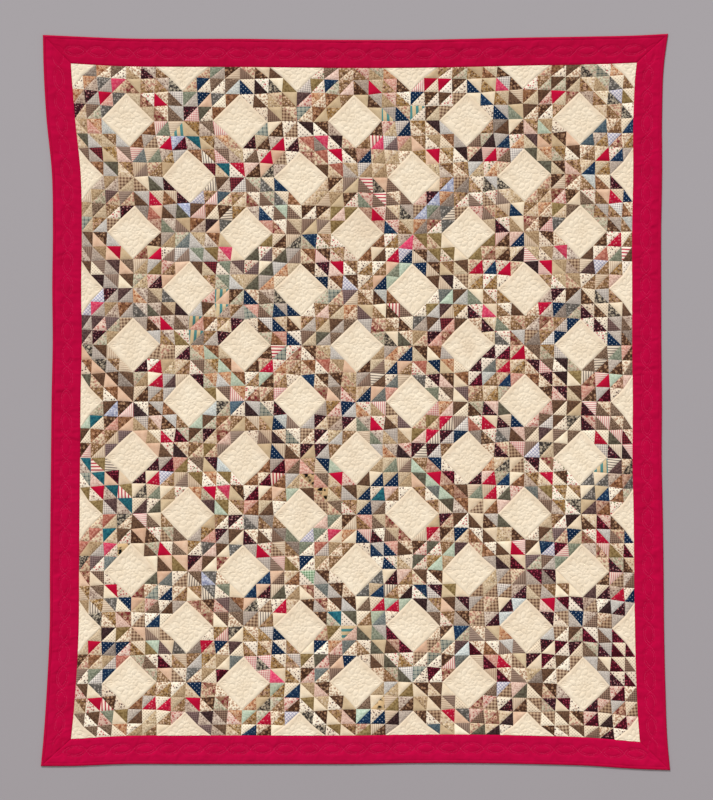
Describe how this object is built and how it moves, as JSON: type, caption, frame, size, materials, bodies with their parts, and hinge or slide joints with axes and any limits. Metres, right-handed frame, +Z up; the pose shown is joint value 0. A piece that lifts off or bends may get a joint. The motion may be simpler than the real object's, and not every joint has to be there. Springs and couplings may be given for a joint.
{
  "type": "patchwork quilt",
  "caption": "Flat patchwork quilt: cream squares set on point in bands of small scrap triangles, with a plain crimson border quilted in a cable and a narrow binding.",
  "frame": {"origin": "middle of the quilt's flat underside", "axes": "+X across the quilt, +Y along its length towards the picture's top edge, +Z up out of the quilted face"},
  "size_m": [1.7094, 2.0002, 0.0056],
  "materials": {
    "patchwork_cotton": "matte printed and plain cottons, pieced and hand quilted",
    "border_cotton": "matte plain crimson cotton, hand quilted",
    "binding_cotton": "matte plain crimson cotton, folded and stitched"
  },
  "bodies": {
    "root": {"patchwork_center": "patchwork_cotton", "border_bottom": "border_cotton", "border_right": "border_cotton", "border_top": "border_cotton", "border_left": "border_cotton", "binding_bottom": "binding_cotton", "binding_right": "binding_cotton", "binding_top": "binding_cotton", "binding_left": "binding_cotton"}
  },
  "joints": []
}
